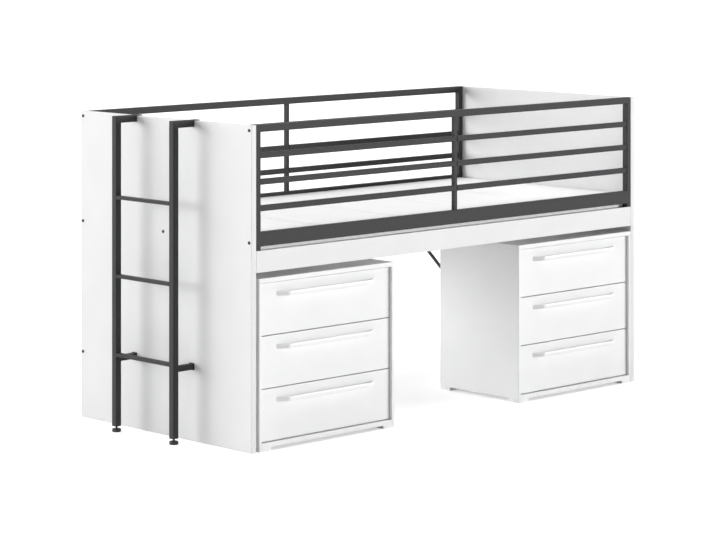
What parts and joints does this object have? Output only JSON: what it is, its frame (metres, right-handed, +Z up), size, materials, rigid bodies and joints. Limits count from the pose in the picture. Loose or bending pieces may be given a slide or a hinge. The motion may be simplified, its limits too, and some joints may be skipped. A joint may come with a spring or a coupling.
{
  "type": "mid sleeper bed",
  "caption": "Raised single bed on white end panels with dark steel guard rails, a hook-on side ladder and white chests of drawers standing under the deck.",
  "frame": {"origin": "on the floor, under the centre of the whole outline (ladder and handles included)", "axes": "+X along the bed away from the ladder, -Y to the open front with the drawers, +Z up"},
  "size_m": [2.1554, 0.967, 1.14],
  "materials": {
    "white_board": "smooth satin white lacquer on board",
    "deck_white": "matt white lacquer on thin board",
    "frame_steel": "fine satin dark grey powder coat",
    "fastener": "satin black",
    "pad_rubber": "matt black",
    "foot_plastic": "satin black",
    "chest_white": "smooth satin white lacquer on board",
    "drawer_white": "matt white foil on board",
    "thin_board": "matt white hardboard",
    "runner": "satin white",
    "handle_white": "satin white"
  },
  "bodies": {
    "bed": {"left_end_panel": "white_board", "right_end_panel": "white_board", "front_side_board": "white_board", "rear_side_board": "white_board", "front_rail_frame": "frame_steel", "rear_rail_frame": "frame_steel", "front_rail_bars": "frame_steel", "rear_rail_bars": "frame_steel", "deck_boards": "deck_white", "deck_ledgers": "deck_white", "centre_beam": "frame_steel", "left_brace": "frame_steel", "right_brace": "frame_steel", "panel_bolts": "fastener", "left_chest_left_side": "chest_white", "left_chest_right_side": "chest_white", "left_chest_top": "chest_white", "left_chest_base": "chest_white", "left_chest_back": "thin_board", "left_chest_feet": "chest_white", "left_chest_runners": "runner", "right_chest_left_side": "chest_white", "right_chest_right_side": "chest_white", "right_chest_top": "chest_white", "right_chest_base": "chest_white", "right_chest_back": "thin_board", "right_chest_feet": "chest_white", "right_chest_runners": "runner"},
    "ladder": {"ladder_front_rail": "frame_steel", "ladder_rear_rail": "frame_steel", "ladder_rungs": "frame_steel", "ladder_hooks": "frame_steel", "ladder_pads": "pad_rubber"},
    "front_levelling_foot": {"ladder_front_foot": "foot_plastic"},
    "rear_levelling_foot": {"ladder_rear_foot": "foot_plastic"},
    "left_bottom_drawer": {"left_bottom_drawer_front": "chest_white", "left_bottom_drawer_box": "drawer_white", "left_bottom_drawer_bottom": "thin_board", "left_bottom_drawer_handle": "handle_white"},
    "left_middle_drawer": {"left_middle_drawer_front": "chest_white", "left_middle_drawer_box": "drawer_white", "left_middle_drawer_bottom": "thin_board", "left_middle_drawer_handle": "handle_white"},
    "left_top_drawer": {"left_top_drawer_front": "chest_white", "left_top_drawer_box": "drawer_white", "left_top_drawer_bottom": "thin_board", "left_top_drawer_handle": "handle_white"},
    "right_bottom_drawer": {"right_bottom_drawer_front": "chest_white", "right_bottom_drawer_box": "drawer_white", "right_bottom_drawer_bottom": "thin_board", "right_bottom_drawer_handle": "handle_white"},
    "right_middle_drawer": {"right_middle_drawer_front": "chest_white", "right_middle_drawer_box": "drawer_white", "right_middle_drawer_bottom": "thin_board", "right_middle_drawer_handle": "handle_white"},
    "right_top_drawer": {"right_top_drawer_front": "chest_white", "right_top_drawer_box": "drawer_white", "right_top_drawer_bottom": "thin_board", "right_top_drawer_handle": "handle_white"}
  },
  "joints": [
    {"name": "ladder_lift", "type": "slide", "parent": "bed", "child": "ladder", "axis": [0, 0, 1], "range_m": [0, 0.06]},
    {"name": "front_foot_screw", "type": "slide", "parent": "ladder", "child": "front_levelling_foot", "axis": [0, 0, 1], "range_m": [0, 0.008]},
    {"name": "rear_foot_screw", "type": "slide", "parent": "ladder", "child": "rear_levelling_foot", "axis": [0, 0, 1], "range_m": [0, 0.008]},
    {"name": "left_bottom_drawer_slide", "type": "slide", "parent": "bed", "child": "left_bottom_drawer", "axis": [0, -1, 0], "range_m": [0, 0.29]},
    {"name": "left_middle_drawer_slide", "type": "slide", "parent": "bed", "child": "left_middle_drawer", "axis": [0, -1, 0], "range_m": [0, 0.29]},
    {"name": "left_top_drawer_slide", "type": "slide", "parent": "bed", "child": "left_top_drawer", "axis": [0, -1, 0], "range_m": [0, 0.29]},
    {"name": "right_bottom_drawer_slide", "type": "slide", "parent": "bed", "child": "right_bottom_drawer", "axis": [0, -1, 0], "range_m": [0, 0.29]},
    {"name": "right_middle_drawer_slide", "type": "slide", "parent": "bed", "child": "right_middle_drawer", "axis": [0, -1, 0], "range_m": [0, 0.29]},
    {"name": "right_top_drawer_slide", "type": "slide", "parent": "bed", "child": "right_top_drawer", "axis": [0, -1, 0], "range_m": [0, 0.29]}
  ]
}
